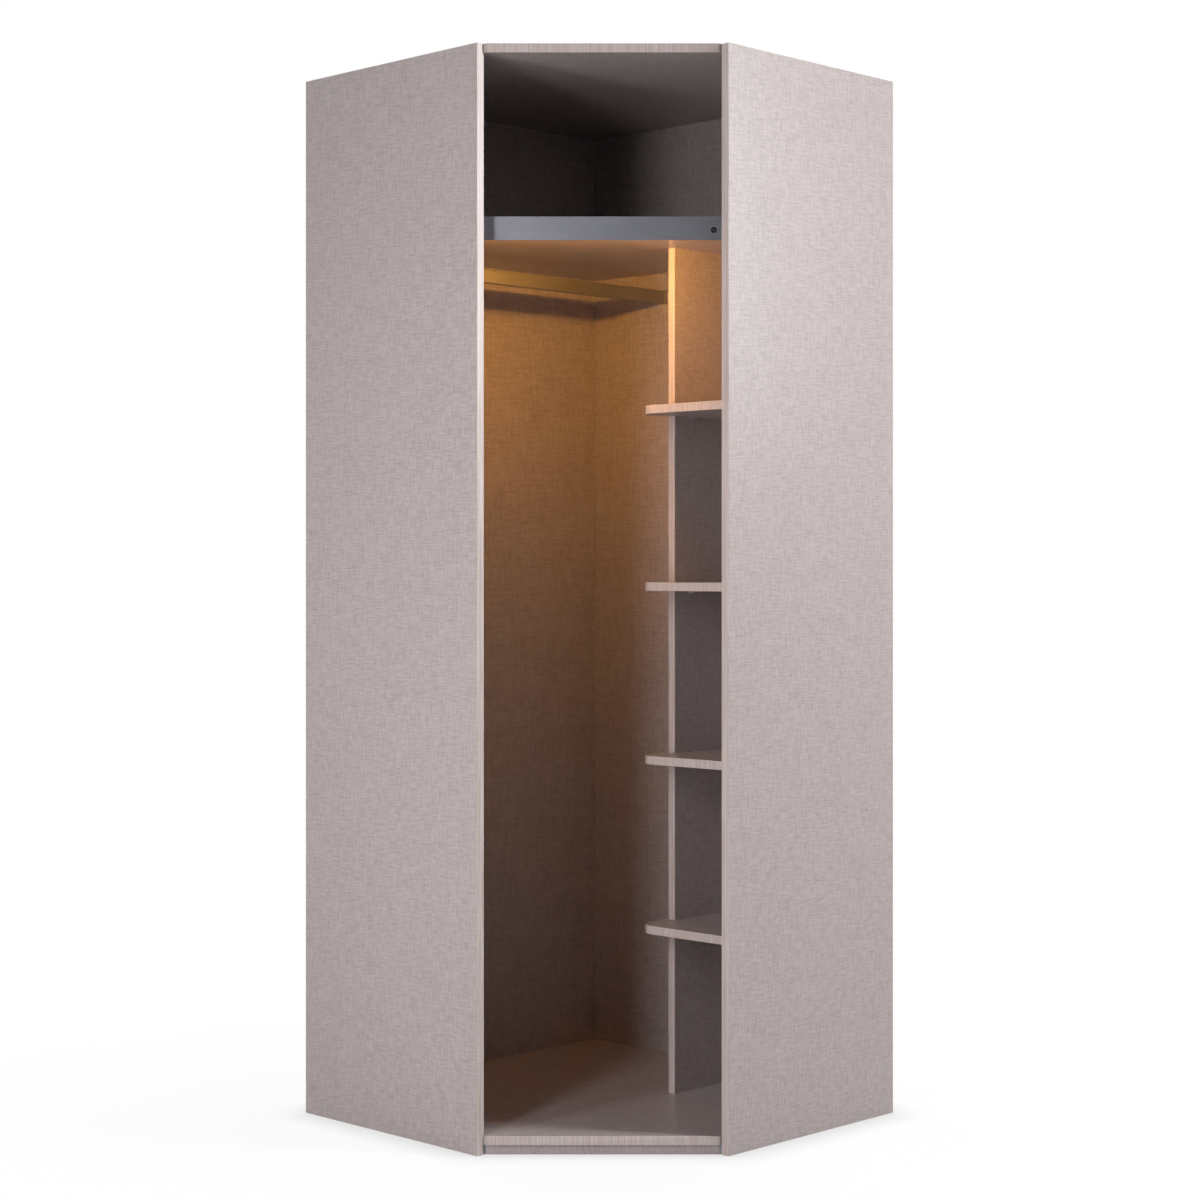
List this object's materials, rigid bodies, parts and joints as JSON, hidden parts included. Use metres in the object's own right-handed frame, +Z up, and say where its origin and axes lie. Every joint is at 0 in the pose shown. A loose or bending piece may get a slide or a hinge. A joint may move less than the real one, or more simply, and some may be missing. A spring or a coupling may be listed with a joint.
{
  "type": "corner wardrobe",
  "caption": "Doorless pentagon corner wardrobe in linen-look board, with a hanging rail, a lit upper shelf and a side column of rounded shelves.",
  "frame": {"origin": "bottom centre of the bounding box, on the floor", "axes": "+Z up; the room corner lies towards +X +Y, with the left back panel facing +Y and the right back panel facing +X; the diagonal front faces -X -Y"},
  "size_m": [0.886, 0.886, 2.2],
  "materials": {
    "linen_board": "matt, linen-weave melamine",
    "linen_edging": "matt",
    "rail_metal": "satin anodised",
    "grey_metal": "satin",
    "zinc_steel": "zinc plated",
    "cam_zinc": "die cast",
    "grey_plastic": "moulded",
    "black_plastic": "moulded",
    "dark_plastic": "moulded",
    "white_plastic": "moulded",
    "lamp_glow": "frosted, lit warm white",
    "beech": "fluted beech"
  },
  "bodies": {
    "carcass": {"left_side_panel": "linen_board", "right_side_panel": "linen_board", "left_back_panel": "linen_board", "right_back_panel": "linen_board", "top_panel": "linen_board", "bottom_panel": "linen_board", "upper_shelf": "linen_board", "divider_panel": "linen_board", "left_side_edging": "linen_edging", "right_side_edging": "linen_edging", "top_panel_edging": "linen_edging", "bottom_panel_edging": "linen_edging", "divider_edging": "linen_edging", "shelf_pins": "zinc_steel", "hanging_rail": "rail_metal", "rail_socket_left": "rail_metal", "rail_socket_right": "rail_metal", "rail_socket_screws": "zinc_steel", "plinth_strip": "linen_board", "plinth_corner_blocks": "grey_plastic", "corner_block_screws": "zinc_steel", "shelf_fascia": "grey_metal", "fascia_screws": "zinc_steel", "lamp_channel": "grey_metal", "lamp_circuit_strip": "white_plastic", "lamp_chips": "lamp_glow", "lamp_diffuser": "lamp_glow", "lamp_end_caps": "grey_plastic", "switch_bezel": "black_plastic", "switch_housing": "black_plastic", "driver_base": "white_plastic", "driver_case": "white_plastic", "driver_screws": "zinc_steel", "cam_locks": "cam_zinc", "cam_bolts": "zinc_steel", "dowels": "beech"},
    "shelf_1_body": {"shelf_1": "linen_board", "shelf_1_edging": "linen_edging"},
    "shelf_2_body": {"shelf_2": "linen_board", "shelf_2_edging": "linen_edging"},
    "shelf_3_body": {"shelf_3": "linen_board", "shelf_3_edging": "linen_edging"},
    "shelf_4_body": {"shelf_4": "linen_board", "shelf_4_edging": "linen_edging"},
    "switch_button_body": {"switch_button": "dark_plastic"}
  },
  "joints": [
    {"name": "shelf_1_slide", "type": "slide", "parent": "carcass", "child": "shelf_1_body", "axis": [-1, 0, 0], "range_m": [0, 0.3]},
    {"name": "shelf_2_slide", "type": "slide", "parent": "carcass", "child": "shelf_2_body", "axis": [-1, 0, 0], "range_m": [0, 0.3]},
    {"name": "shelf_3_slide", "type": "slide", "parent": "carcass", "child": "shelf_3_body", "axis": [-1, 0, 0], "range_m": [0, 0.3]},
    {"name": "shelf_4_slide", "type": "slide", "parent": "carcass", "child": "shelf_4_body", "axis": [-1, 0, 0], "range_m": [0, 0.3]},
    {"name": "switch_press", "type": "slide", "parent": "carcass", "child": "switch_button_body", "axis": [0.7071, 0.7071, 0], "range_m": [0, 0.0012], "stiffness_N_per_m": 600}
  ]
}
